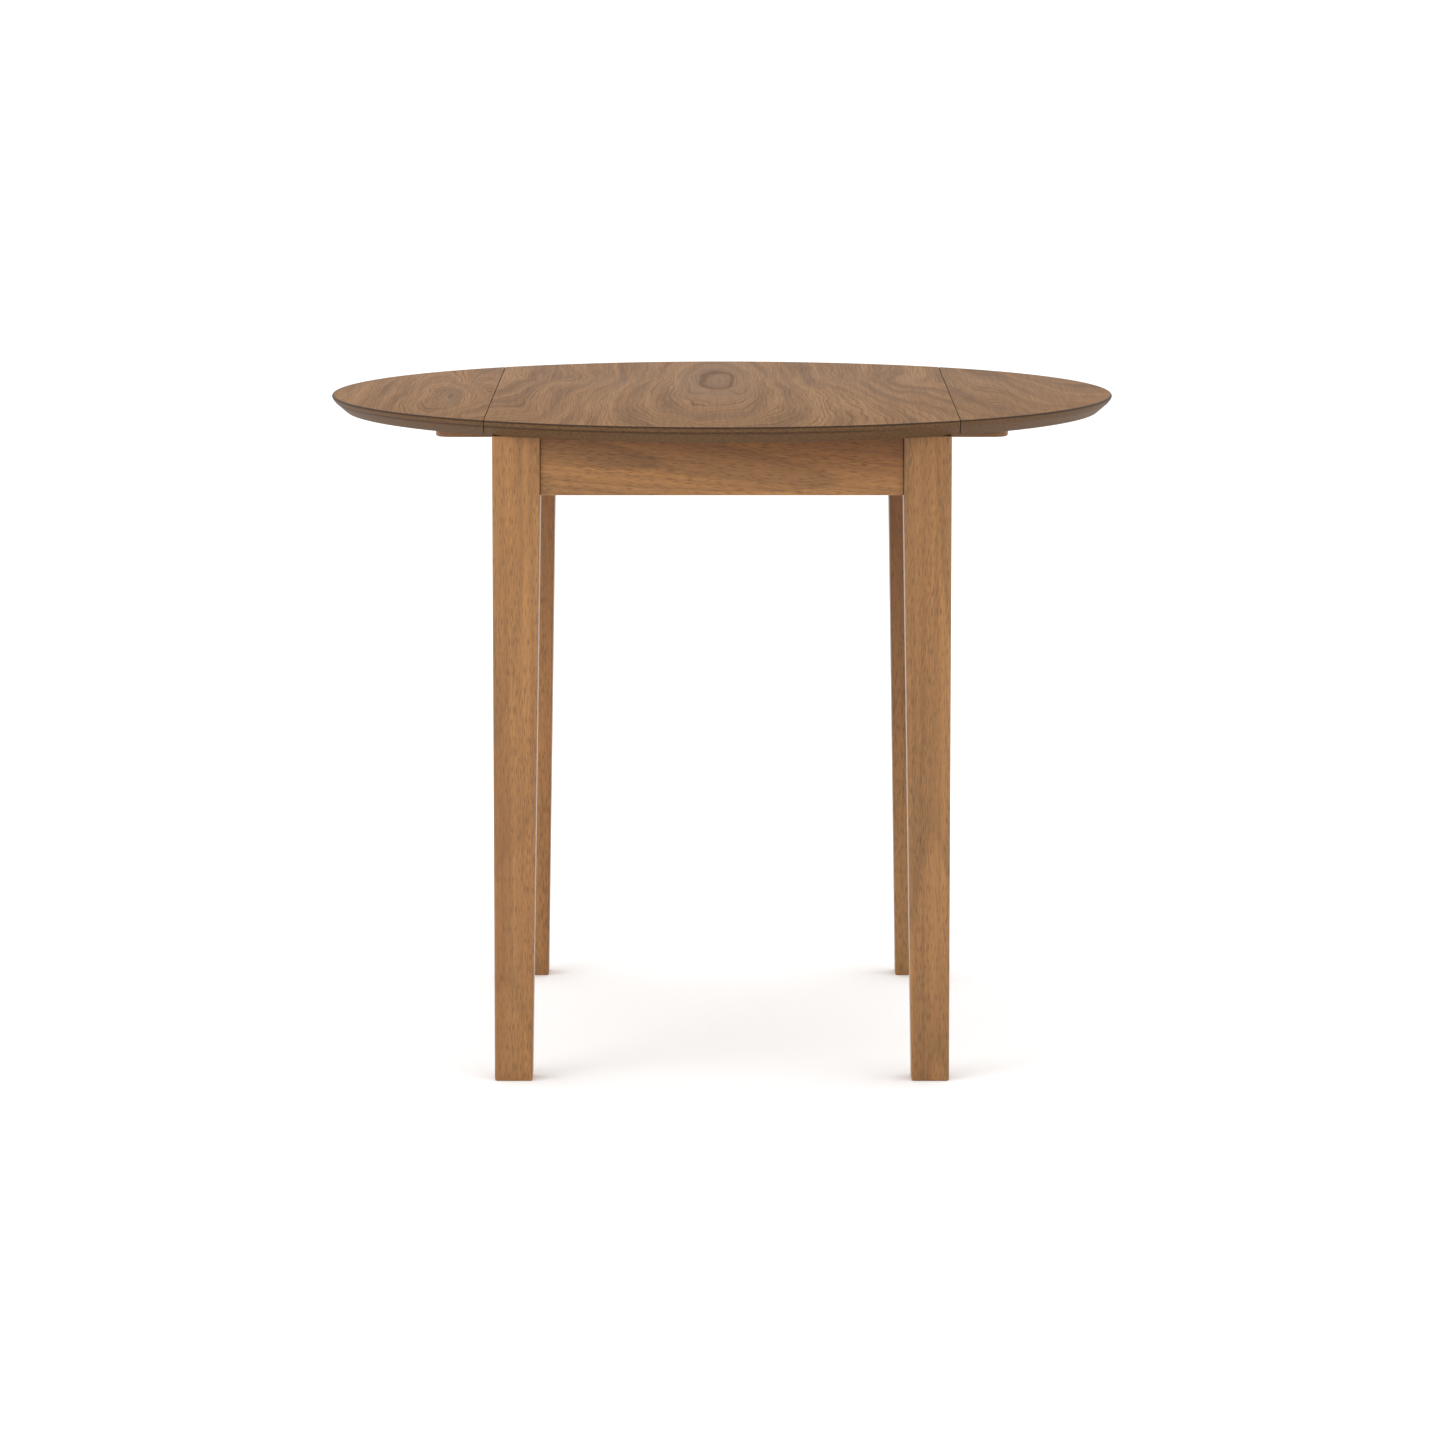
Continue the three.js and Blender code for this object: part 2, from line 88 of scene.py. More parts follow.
def addStudio():
    studio = {
        "worldStrength": 1.24,
        "floorSize": 160,
        "floorColour": (0.99, 0.99, 0.99, 1),
        "floorRoughness": 0.9,
        # place, aim, size and power
        "lights": {
            "keyLeft": ((-3.2, -3.0, 2.6), (0, 0, 0.45), (2.6, 2.2), 40),
            "fillRight": ((3.4, -2.4, 2.0), (0, 0, 0.45), (2.6, 2.2), 4),
            "overhead": ((0, 0.6, 3.6), (0, 0, 0.7), (3.4, 3.0), 12),
        },
    }
    scene = bpy.context.scene
    scene.view_settings.view_transform = "Standard"
    scene.world = bpy.data.worlds.new("studio")
    scene.world.use_nodes = True
    background = scene.world.node_tree.nodes["Background"]
    background.inputs["Color"].default_value = (1, 1, 1, 1)
    background.inputs["Strength"].default_value = studio["worldStrength"]

    half = studio["floorSize"] / 2
    corners = [(-half, -half, 0), (half, -half, 0), (half, half, 0), (-half, half, 0)]
    mesh = bpy.data.meshes.new("floor")
    mesh.from_pydata(corners, [], [(0, 1, 2, 3)])
    floor = bpy.data.objects.new("floor", mesh)
    scene.collection.objects.link(floor)
    floorPaint = bpy.data.materials.new("floorPaint")
    floorPaint.use_nodes = True
    shader = floorPaint.node_tree.nodes["Principled BSDF"]
    shader.inputs["Base Color"].default_value = studio["floorColour"]
    shader.inputs["Roughness"].default_value = studio["floorRoughness"]
    mesh.materials.append(floorPaint)

    for name, settings in studio["lights"].items():
        addLight(name, *settings)


addCamera()
addStudio()
print("camera and studio done")


# materials

class Nodes:
    def __init__(self, name):
        self.material = bpy.data.materials.new(name)
        self.material.use_nodes = True
        self.tree = self.material.node_tree
        self.shader = self.tree.nodes["Principled BSDF"]
        self.coordinates = self.add("ShaderNodeTexCoord").outputs["Object"]

    def add(self, kind, **settings):
        node = self.tree.nodes.new(kind)
        for key, value in settings.items():
            setattr(node, key, value)
        return node

    def set(self, socket, value):
        if hasattr(value, "is_linked"):
            self.tree.links.new(value, socket)
        else:
            socket.default_value = value

    def math(self, operation, *values, clamp=False):
        node = self.add("ShaderNodeMath", operation=operation, use_clamp=clamp)
        for socket, value in zip(node.inputs, values):
            self.set(socket, value)
        return node.outputs[0]

    def mapped(self, vector, scale=(1, 1, 1), offset=(0, 0, 0), turn=(0, 0, 0)):
        node = self.add("ShaderNodeMapping")
        self.set(node.inputs["Vector"], vector)
        node.inputs["Location"].default_value = offset
        node.inputs["Rotation"].default_value = turn
        node.inputs["Scale"].default_value = scale
        return node.outputs[0]

    def noise(self, vector, scale=1, detail=2, roughness=0.5, distortion=0):
        node = self.add("ShaderNodeTexNoise")
        self.set(node.inputs["Vector"], vector)
        node.inputs["Scale"].default_value = scale
        node.inputs["Detail"].default_value = detail
        node.inputs["Roughness"].default_value = roughness
        node.inputs["Distortion"].default_value = distortion
        return node.outputs[0]

    def ramp(self, value, stops, smooth=False):
        node = self.add("ShaderNodeValToRGB")
        self.set(node.inputs[0], value)
        elements = node.color_ramp.elements
        node.color_ramp.interpolation = "EASE" if smooth else "LINEAR"
        while len(elements) < len(stops):
            elements.new(0.5)
        for element, (position, colour) in zip(elements, stops):
            element.position = position
            element.color = (*colour, 1) if hasattr(colour, "__len__") else (colour, colour, colour, 1)
        return node.outputs[0]

    # grey from low to high over the middle of a noise
    def spread(self, value, low, high):
        return self.ramp(value, [(0.3, low), (0.7, high)])

    def blend(self, factor, first, second, mode="MIX"):
        node = self.add("ShaderNodeMix", data_type="RGBA", blend_type=mode)
        self.set(node.inputs[0], factor)
        for socket, value in ((node.inputs[6], first), (node.inputs[7], second)):
            self.set(socket, (*value, 1) if isinstance(value, tuple) and len(value) == 3 else value)
        return node.outputs[2]

    def split(self, vector):
        node = self.add("ShaderNodeSeparateXYZ")
        self.set(node.inputs[0], vector)
        return node.outputs

    def join(self, x, y, z):
        node = self.add("ShaderNodeCombineXYZ")
        for socket, value in zip(node.inputs, (x, y, z)):
            self.set(socket, value)
        return node.outputs[0]

    def bump(self, height, depth):
        node = self.add("ShaderNodeBump")
        self.set(node.inputs["Height"], height)
        node.inputs["Distance"].default_value = depth
        node.inputs["Strength"].default_value = 1
        self.set(self.shader.inputs["Normal"], node.outputs[0])

    def finish(self, colour, roughness, metallic=0.0, specular=0.5, coat=0.0, coatRoughness=0.2):
        self.set(self.shader.inputs["Base Color"], colour)
        self.set(self.shader.inputs["Roughness"], roughness)
        self.shader.inputs["Metallic"].default_value = metallic
        self.shader.inputs["Specular IOR Level"].default_value = specular
        self.shader.inputs["Coat Weight"].default_value = coat
        self.shader.inputs["Coat Roughness"].default_value = coatRoughness
        return self.material


# rubberwood of the frame: its grain runs along one axis, and each piece has its own part of the plank
frameWood = {
    "pale": (0.352, 0.171, 0.057),
    "middle": (0.312, 0.147, 0.047),
    "deep": (0.253, 0.111, 0.033),
    "pore": (0.110, 0.046, 0.013),
    "knotCoreAndPaintedShade": (0.57, 0.43, 0.22),  # painted shade under the table top: what the shaded upper part multiplies the colour by
    # how fine each figure is across, along and through the plank
    "broad": (16, 0.9, 16),
    "streaks": (110, 1.6, 110),
    "rings": (5.2, 0.42, 5.2),
    "waves": (60, 45, 60),
    "pores": (1100, 90, 1100),
    "poreGroups": (70, 3.0, 70),
    "fibres": (1700, 42, 1700),
    "ringCount": 18,
    "roughness": (0.42, 0.6),
    "specular": 0.26,
    "coat": 0.26,
    "coatRoughness": 0.16,
    "poreDepth": 0.00012,
}
grainTurn = {"x": (0, 0, pi / 2), "y": (0, 0, 0), "z": (pi / 2, 0, 0)}


# arcs: how much the rings show; ripple: how far the grain waves; slant: its angle to the piece in degrees;
# and the painted shade under the table top: the levels where it starts and where it is full, and how much
# that line tilts
def makeFrameWood(name, grain, plank, arcs=0.0, tone=1.0, knotCoreAndPaintedShade=None, slant=0.0, ripple=0.0):
    look = frameWood
    wood = Nodes(name)
    slanted = wood.mapped(wood.coordinates, turn=(0, radians(slant), 0))
    along = wood.mapped(slanted, turn=grainTurn[grain], offset=plank)
    if ripple:
        wave = wood.math("SUBTRACT", wood.noise(wood.mapped(along, look["waves"]), detail=1), 0.5)
        u, v, w = wood.split(along)
        along = wood.join(wood.math("MULTIPLY_ADD", wave, ripple * 2, u), v, w)
    broad = wood.noise(wood.mapped(along, look["broad"]), detail=2, roughness=0.5)
    streak = wood.noise(wood.mapped(along, look["streaks"]), detail=4, roughness=0.6)
    # growth rings: a slow field cut into bands, each with a thin dark edge
    field = wood.noise(wood.mapped(along, look["rings"]), detail=1.5, distortion=0.2)
    drift = wood.math("MULTIPLY", wood.split(along)[1], 0.8 * arcs)
    field = wood.math("ADD", wood.math("MULTIPLY", field, look["ringCount"]), drift)
    ringStops = [(0.0, 0.36), (0.10, 0.60), (0.5, 0.54), (0.86, 0.46), (0.96, 0.40), (1.0, 0.36)]
    ringTone = wood.ramp(wood.math("FRACT", field), ringStops)
    bodyStops = [(0.32, look["deep"]), (0.50, look["middle"]), (0.68, look["pale"])]
    body = wood.ramp(broad, bodyStops, smooth=True)
    streaked = wood.blend(0.48 + 0.5 * arcs, body, wood.spread(streak, 0.34, 0.66), "OVERLAY")
    ringed = wood.blend(0.26 + 0.55 * arcs, streaked, ringTone, "OVERLAY")
    fibre = wood.noise(wood.mapped(along, look["fibres"]), detail=2)
    fibred = wood.blend(0.5, ringed, wood.spread(fibre, 0.36, 0.64), "OVERLAY")
    # pores: short dark dashes that come in groups
    poreField = wood.noise(wood.mapped(along, look["pores"]), detail=1, roughness=0.4)
    poreGroups = wood.noise(wood.mapped(along, look["poreGroups"]), detail=2)
    pores = wood.ramp(wood.math("MULTIPLY_ADD", poreGroups, 0.3, poreField), [(0.68, 0.0), (0.84, 1.0)])
    pored = wood.blend(wood.math("MULTIPLY", pores, 0.55), fibred, look["pore"])
    toned = wood.blend(1.0, pored, (tone, tone, tone), "MULTIPLY")
    # painted shade: the piece darkens towards its top, where the table top shades it, in blotches that follow
    # the broad grain
    if knotCoreAndPaintedShade:
        start, end, tilt = knotCoreAndPaintedShade
        axes = wood.split(wood.coordinates)
        x, z = axes[0], axes[2]
        level = wood.math("DIVIDE", wood.math("SUBTRACT", z, start), end - start)
        level = wood.math("MULTIPLY_ADD", x, tilt, level)
        level = wood.math("MULTIPLY_ADD", wood.math("SUBTRACT", broad, 0.5), 0.9, level)
        depth = wood.ramp(level, [(0.0, 0.0), (1.0, 1.0)], smooth=True)
        toned = wood.blend(depth, toned, wood.blend(1.0, toned, look["knotCoreAndPaintedShade"], "MULTIPLY"))
    wood.bump(wood.math("SUBTRACT", wood.math("MULTIPLY", fibre, 0.18), pores), look["poreDepth"])
    gloss = wood.spread(streak, *look["roughness"])
    return wood.finish(toned, gloss, specular=look["specular"], coat=look["coat"],
                       coatRoughness=look["coatRoughness"])


# ash veneer of the top: growth lines nest round knots and run out along the board, in light and dark flames
veneer = {
    "pale": (0.268, 0.147, 0.070),
    "middle": (0.221, 0.118, 0.055),
    "deep": (0.178, 0.096, 0.048),
    "line": (0.090, 0.045, 0.020),
    "core": (0.185, 0.120, 0.078),
    "roughness": (0.66, 0.8),
    "specular": 0.05,
    "lineDepth": 0.00005,
    "swell": 5.0,  # how many extra lines the slow noise adds
    "swellScale": (6.5, 1.5, 1),
    "fibres": (520, 10, 1),
    "pores": (1300, 38, 1),
    # figures that follow the lines: fineness across the lines and along the board, seed, detail
    "strength": (0.9, 4, 5.3, 1),
    "flames": (0.27, 2.2, 1.7, 2.5),
    # how far the lines wander across and along the board, and the scale and detail of that noise
    "wander": (
        ((0.012, 0.10), (9, 1.3, 1), 1),
        ((0.008, 0.06), (24, 4.0, 1), 1),
        ((0.0055, 0.024), (60, 14, 1), 2),
    ),
    "wanderSeeds": (3.1, 8.3),
}


def makeVeneer(name, knots, flare, plank, tone):
    look = veneer
    wood = Nodes(name)
    shifted = wood.mapped(wood.coordinates, offset=plank)
    x, y = wood.split(wood.coordinates)[:2]

    def wander(socket, noiseScale, seed, reach, detail):
        moved = wood.mapped(shifted, noiseScale, offset=(seed, seed * 1.7, 0))
        value = wood.noise(moved, detail=detail, roughness=0.5)
        return wood.math("MULTIPLY_ADD", wood.math("SUBTRACT", value, 0.5), reach * 2, socket)

    seedX, seedY = look["wanderSeeds"]
    for (reachX, reachY), noiseScale, detail in look["wander"]:
        x = wander(x, noiseScale, seedX, reachX, detail)
        y = wander(y, noiseScale, seedY, reachY, detail)

    field = None
    main = knots[0]
    for knot in knots:
        across = wood.math("SUBTRACT", x, knot["x"])
        along = wood.math("SUBTRACT", y, knot["y"])
        if knot is main:
            # the lines spread apart towards the front
            frontward = wood.math("MAXIMUM", wood.math("MULTIPLY", along, -1), 0)
            across = wood.math("DIVIDE", across, wood.math("MULTIPLY_ADD", frontward, flare, 1))
        across = wood.math("DIVIDE", across, knot["width"])
        along = wood.math("DIVIDE", along, knot["length"])
        alongSquare = wood.math("MULTIPLY", along, along)
        reach = wood.math("SQRT", wood.math("MULTIPLY_ADD", across, across, alongSquare))
        if knot is main:
            core = knot["core"]
            field = wood.math("MULTIPLY", reach, knot["rings"])
            knotCoreAndPaintedShade = wood.ramp(reach, [(core, 0.6), (core * 1.5, 0.5), (core * 3.2, 0.0)])
            rimStops = [(core * 0.80, 0.12), (core * 0.96, 0.9), (core * 1.06, 0.8), (core * 1.2, 0.0)]
            rim = wood.ramp(reach, rimStops)
        else:
            hill = wood.math("SUBTRACT", 1, wood.math("SMOOTH_MIN", reach, 1, 0.4))
            field = wood.math("MULTIPLY_ADD", hill, knot["rings"], field)
    swell = wood.noise(wood.mapped(shifted, look["swellScale"]), detail=1.5, roughness=0.45)
    field = wood.math("MULTIPLY_ADD", swell, look["swell"] * 2, field)

    def followed(acrossLines, alongBoard, seed, detail):
        u = wood.math("MULTIPLY", field, acrossLines)
        v = wood.math("MULTIPLY", y, alongBoard)
        return wood.noise(wood.join(u, v, seed), detail=detail)

    lineStops = [(0.0, 1.0), (0.10, 0.62), (0.30, 0.16), (0.62, 0.0), (0.86, 0.22), (1.0, 1.0)]
    lines = wood.ramp(wood.math("FRACT", field), lineStops)
    strength = wood.ramp(followed(*look["strength"]), [(0.32, 0.12), (0.66, 0.85)])
    bodyStops = [(0.34, look["deep"]), (0.48, look["middle"]), (0.66, look["pale"])]
    body = wood.ramp(followed(*look["flames"]), bodyStops, smooth=True)
    fibre = wood.noise(wood.mapped(shifted, look["fibres"]), detail=3)
    fibred = wood.blend(0.55, body, wood.spread(fibre, 0.36, 0.64), "OVERLAY")
    cored = wood.blend(wood.math("MULTIPLY", knotCoreAndPaintedShade, 0.6), fibred, look["core"])
    pores = wood.ramp(wood.noise(wood.mapped(shifted, look["pores"]), detail=2), [(0.38, 0.0), (0.62, 1.0)])
    ink = wood.math("MULTIPLY", lines, wood.math("MULTIPLY_ADD", pores, 0.45, 0.55))
    ink = wood.math("MAXIMUM", wood.math("MULTIPLY", ink, strength), wood.math("MULTIPLY", rim, main["rim"]))
    colour = wood.blend(ink, cored, look["line"])
    colour = wood.blend(1.0, colour, (tone, tone, tone), "MULTIPLY")
    wood.bump(wood.math("MULTIPLY", ink, -1), look["lineDepth"])
    plain, inked = look["roughness"]
    return wood.finish(colour, wood.ramp(ink, [(0.0, plain), (1.0, inked)]), specular=look["specular"])


# edge of the top: stained board, with thin layers and a painted shade line in the crease where the undercut
# starts
topEdge = {
    "face": (0.108, 0.056, 0.024),
    "dark": (0.040, 0.019, 0.008),
    # painted shade in the crease where the band meets the undercut
    "joint": (0.062, 0.031, 0.013),
    "bevel": (0.100, 0.052, 0.022),
    "fade": (0.12, 0.28),  # how far right of the middle the painted shade line starts to fade, and where it is gone
    "layers": (3, 3, 1100),
    "grain": (330, 330, 520),
    "grainDepth": 0.00006,
    "roughness": (0.5, 0.65),
    "specular": 0.12,
    # the shape: height of the band and how far it leans in, depth of the undercut, and the eased edges
    "band": 7 * mm,
    "lean": 3 * mm,
    "undercut": 16 * mm,
    "arris": 2 * mm,
    "footEase": (0.55 * mm, 0.35 * mm),
    "crease": ((-0.9 * mm, -0.75 * mm), (-0.25 * mm, -0.1 * mm), (0.1 * mm, 0.6 * mm)),
    "bandMiddle": 0.38,  # share of the lean that the middle of the band has
    "seamArris": 0.35 * mm,
    "arcSteps": 96,
}
# a quarter round in five points: in from the side and down from the top, as shares of its radius
quarterRound = ((0, 1), (0.08, 0.62), (0.29, 0.29), (0.62, 0.08), (1, 0))


def makeEdge():
    look = topEdge
    wood = Nodes("topEdgeBoard")
    low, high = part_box("centre_panel")
    thickness = high.z - low.z
    band = (thickness - look["band"]) / thickness
    axes = wood.split(wood.coordinates)
    x, z = axes[0], axes[2]
    level = wood.math("DIVIDE", wood.math("SUBTRACT", z, low.z), thickness)
    wobble = wood.noise(wood.mapped(wood.coordinates, (9, 9, 60)), detail=2)
    level = wood.math("MULTIPLY_ADD", wood.math("SUBTRACT", wobble, 0.5), 0.02, level)
    # a painted shade line in the crease at the band's foot, fading out to the right
    zones = wood.ramp(level, [
        (0.0, look["bevel"]), (band - 0.10, look["bevel"]), (band - 0.04, look["joint"]),
        (band + 0.04, look["joint"]), (band + 0.10, look["face"]), (0.87, look["face"]), (0.93, look["dark"]),
    ])
    plain = wood.ramp(level, [(0.0, look["bevel"]), (0.88, look["face"]), (0.93, look["dark"])])
    start, end = look["fade"]
    fade = wood.ramp(wood.math("ADD", x, 0.5), [(0.5 + start, 0.0), (0.5 + end, 1.0)])
    zones = wood.blend(fade, zones, plain)
    layers = wood.noise(wood.mapped(wood.coordinates, look["layers"]), detail=2)
    grain = wood.noise(wood.mapped(wood.coordinates, look["grain"]), detail=2)
    layered = wood.blend(0.4, zones, wood.spread(layers, 0.34, 0.64), "OVERLAY")
    mottled = wood.blend(0.75, layered, wood.spread(grain, 0.30, 0.68), "OVERLAY")
    wood.bump(grain, look["grainDepth"])
    return wood.finish(mottled, wood.spread(grain, *look["roughness"]), specular=look["specular"])


metals = {
    "zincPlate": {"colour": (0.62, 0.62, 0.61), "dark": (0.47, 0.48, 0.49), "roughness": 0.28},
    "turnedBrass": {"colour": (0.66, 0.49, 0.22), "dark": (0.52, 0.37, 0.15), "roughness": 0.26},
    "screwSteel": {"colour": (0.42, 0.42, 0.41), "dark": (0.30, 0.30, 0.30), "roughness": 0.32},
}


def makeMetal(name, colour, dark, roughness):
    metal = Nodes(name)
    cloud = metal.noise(metal.mapped(metal.coordinates, (90, 90, 90)), detail=3)
    scratch = metal.noise(metal.mapped(metal.coordinates, (160, 2600, 900)), detail=2)
    tint = metal.blend(metal.ramp(cloud, [(0.35, 0.0), (0.68, 1.0)]), colour, dark)
    metal.bump(scratch, 0.00002)
    return metal.finish(tint, metal.spread(scratch, roughness, roughness + 0.16), metallic=1.0)


steel, brass, screwSteel = [makeMetal(name, **look) for name, look in metals.items()]
print("metals done")


# mesh tools

def linkPiece(name, mesh):
    piece = bpy.data.objects.new(name, mesh)
    bpy.context.scene.collection.objects.link(piece)
    return piece


def smooth(piece, angle):
    piece.data.shade_smooth()
    piece.data.set_sharp_from_angle(angle=radians(angle))


def bevelEdges(piece, width, segments, angle):
    bevel = piece.modifiers.new("arris", "BEVEL")
    bevel.width = width
    bevel.segments = segments
    bevel.limit_method = "ANGLE"
    bevel.angle_limit = radians(angle)
    return bevel


def soften(piece, width, segments=3, angle=32):
    smooth(piece, angle)
    bevelEdges(piece, width, segments, angle).harden_normals = True


# a solid through closed rings of points, from the lowest up
def loft(name, rings, edgeSlot=0):
    count = len(rings[0])
    vertices = [point for ring in rings for point in ring]
    faces = [tuple(reversed(range(count)))]
    for level in range(len(rings) - 1):
        low = level * count
        for i in range(count):
            j = (i + 1) % count
            faces.append((low + i, low + j, low + count + j, low + count + i))
    faces.append(tuple(range(len(vertices) - count, len(vertices))))
    mesh = bpy.data.meshes.new(name)
    mesh.from_pydata(vertices, [], faces)
    for polygon in mesh.polygons[1:-1]:
        polygon.material_index = edgeSlot
    mesh.validate()
    return linkPiece(name, mesh)


# a board with that outline in the plane of two axes, between two levels on the third
def board(name, outline, low, high, normal="z"):
    def at(u, v, w):
        return {"x": (w, u, v), "y": (v, w, u), "z": (u, v, w)}[normal]
    return loft(name, [[at(u, v, level) for u, v in outline] for level in (low, high)])


def circle(radius, level, segments):
    angles = [tau * i / segments for i in range(segments)]
    return [(radius * cos(angle), radius * sin(angle), level) for angle in angles]


def turned(name, profile, segments=40):
    piece = loft(name, [circle(radius, level, segments) for radius, level in profile])
    smooth(piece, 28)
    return piece


# a ring with a bore: its rings of points go up the outside and down the bore
def bored(name, rings, angle):
    count = len(rings[0])
    faces = []
    for row in range(len(rings)):
        start = row * count
        after = (row + 1) % len(rings) * count
        for i in range(count):
            j = (i + 1) % count
            faces.append((start + i, start + j, after + j, after + i))
    mesh = bpy.data.meshes.new(name)
    mesh.from_pydata([point for ring in rings for point in ring], [], faces)
    piece = linkPiece(name, mesh)
    smooth(piece, angle)
    return piece


def cutAway(piece, cutter):
    boolean = piece.modifiers.new("cut", "BOOLEAN")
    boolean.object = cutter
    boolean.operation = "DIFFERENCE"
    bpy.context.view_layer.update()
    solved = bpy.data.meshes.new_from_object(piece.evaluated_get(bpy.context.evaluated_depsgraph_get()))
    piece.modifiers.clear()
    piece.data = solved
    bpy.data.objects.remove(cutter)


def place(piece, body, slotName, *nodes):
    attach(piece, body)
    if nodes:
        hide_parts(*nodes)


def paint(piece, *materials):
    for material in materials:
        piece.data.materials.append(material)


# top panels

panels = {
    "centre_panel": {
        "body": "frame",
        "plank": (0.0, 0.0, 0.0),
        "tone": 0.98,
        "flare": 1.6,
        "knots": [
            {"x": -0.008, "y": 0.149, "width": 0.1, "length": 0.80, "rings": 27, "core": 0.165, "rim": 0.75},
            {"x": -0.008, "y": -0.03, "width": 0.030, "length": 0.11, "rings": 5},
            {"x": -0.205, "y": -0.24, "width": 0.085, "length": 0.42, "rings": 15},
            {"x": -0.165, "y": 0.24, "width": 0.055, "length": 0.20, "rings": 9},
            {"x": 0.200, "y": 0.10, "width": 0.055, "length": 0.22, "rings": 9},
        ],
    },
    "leaf_left": {
        "body": "left_leaf",
        "plank": (3.7, 1.3, 0.0),
        "tone": 0.98,
        "flare": 0.2,
        "knots": [
            {"x": -0.310, "y": -0.055, "width": 0.1, "length": 1.0, "rings": 24, "core": 0.05, "rim": 0.2},
            {"x": -0.290, "y": 0.17, "width": 0.05, "length": 0.26, "rings": 13},
            {"x": -0.285, "y": -0.30, "width": 0.05, "length": 0.30, "rings": 9},
        ],
    },
    "leaf_right": {
        "body": "right_leaf",
        "plank": (7.9, 4.1, 0.0),
        "tone": 0.92,
        "flare": 0.0,
        "knots": [
            {"x": 0.430, "y": 0.44, "width": 0.1, "length": 0.42, "rings": 24, "core": 0.02, "rim": 0.0},
            {"x": 0.345, "y": 0.16, "width": 0.05, "length": 0.30, "rings": 5},
        ],
    },
}


def panelRing(node, seam, radius, level, steps):
    half = acos(min(1, seam / radius))
    arcs = {
        "centre_panel": [(pi + half, tau - half), (half, pi - half)],
        "leaf_right": [(-half, half)],
        "leaf_left": [(pi - half, pi + half)],
    }[node]
    points = []
    for start, end in arcs:
        for step in range(steps + 1):
            angle = start + (end - start) * step / steps
            points.append((radius * cos(angle), radius * sin(angle), level))
    return points


# the edge from the underside up, as radius and level
def edgeProfile(radius, low, high):
    look = topEdge
    lean, undercut, arris = look["lean"], look["undercut"], look["arris"]
    bandFoot = high.z - look["band"]
    easeIn, easeUp = look["footEase"]
    profile = [
        (radius - undercut, low.z),
        (radius - undercut + easeIn, low.z + easeUp),
        (radius - (lean + undercut) / 2, (low.z + bandFoot) / 2),
    ]
    profile += [(radius - lean + out, bandFoot + up) for out, up in look["crease"]]
    profile.append((radius - lean * look["bandMiddle"], (bandFoot + high.z - arris) / 2))
    return profile + [(radius - across * arris, high.z - down * arris) for across, down in quarterRound]


def makePanels():
    edge = makeEdge()
    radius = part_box("centre_panel")[1].y
    for node, panel in panels.items():
        low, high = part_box(node)
        seam = {"centre_panel": high.x, "leaf_right": low.x, "leaf_left": -high.x}[node]
        rings = [panelRing(node, seam, r, z, topEdge["arcSteps"]) for r, z in edgeProfile(radius, low, high)]
        piece = loft(node + "Board", rings, edgeSlot=1)
        face = makeVeneer(node + "Veneer", panel["knots"], panel["flare"], panel["plank"], panel["tone"])
        paint(piece, face, edge)
        soften(piece, topEdge["seamArris"], segments=2, angle=50)
        place(piece, panel["body"], "top_veneer", node)


makePanels()
print("top done")


# legs

legShape = {
    "foot": 42 * mm,
    "outerRound": 4 * mm,
    "innerRound": 2.2 * mm,
    "leastRound": 0.2 * mm,
    "footRound": 1.6 * mm,
    "roundSteps": 5,
    "levels": (0.25, 0.5, 0.75, 0.97),  # sections between foot and apron
    # tone of each leg, how much its rings show, how wavy its grain is, and the painted shade under the table
    # top on its upper part
    "woods": {
        ("front", "left"): (0.93, 0.1, 0, None),
        ("front", "right"): (0.80, 0.5, 2.2 * mm, None),
        ("back", "left"): (1.05, 0.0, 0, (0.3, 0.95, 0)),
        ("back", "right"): (0.80, 0.0, 0, (0.15, 0.8, 0)),
    },
}


# one section of a leg; shrink draws it in where the foot's edges are eased
def legRing(corner, directionX, directionY, width, level, shrink):
    look = legShape
    outer = max(look["leastRound"], look["outerRound"] - shrink)
    inner = max(look["leastRound"], look["innerRound"] - shrink)
    size = width - shrink
    # round the section from the outer corner, as distances in from the leg's outer faces
    rounds = [
        (shrink + outer, shrink + outer, outer), (size - inner, shrink + inner, inner),
        (size - inner, size - inner, inner), (shrink + inner, size - inner, inner),
    ]
    points = []
    for quarter, (u, v, radius) in enumerate(rounds):
        for step in range(look["roundSteps"] + 1):
            angle = pi / 2 * (step / look["roundSteps"]) + pi / 2 * (quarter - 2)
            fromX = u + radius * cos(angle)
            fromY = v + radius * sin(angle)
            points.append((corner[0] - directionX * fromX, corner[1] - directionY * fromY, level))
    if directionX * directionY < 0:
        points.reverse()
    return points


def makeLegs():
    look = legShape
    foot, ease = look["foot"], look["footRound"]
    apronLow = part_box("apron_front")[0].z
    for number, (end, side, endSign, sideSign) in enumerate(tableCorners, 1):
        node = f"leg_{end}_{side}"
        low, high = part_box(node)
        top = high.x - low.x
        corner = (high.x if sideSign > 0 else low.x, high.y if endSign > 0 else low.y)
        # width, level and shrink of each section
        sections = [(foot, low.z, ease), (foot, low.z + ease * 0.3, ease * 0.3), (foot, low.z + ease, 0)]
        for level in look["levels"]:
            sections.append((foot + (top - foot) * level, low.z + (apronLow - low.z) * level, 0))
        sections += [(top, apronLow, 0), (top, high.z, 0)]
        rings = [legRing(corner, sideSign, endSign, *section) for section in sections]
        piece = loft(f"leg{end.title()}{side.title()}", rings)
        tone, arcs, ripple, knotCoreAndPaintedShade = look["woods"][end, side]
        plank = (0.37 * number, 1.9 * number, 0.61 * number)
        wood = makeFrameWood(f"legWood{number}", "z", plank, arcs=arcs, tone=tone, knotCoreAndPaintedShade=knotCoreAndPaintedShade, ripple=ripple)
        paint(piece, wood)
        smooth(piece, 40)
        place(piece, "frame", "frame_wood", node)


makeLegs()
print("legs done")


# aprons

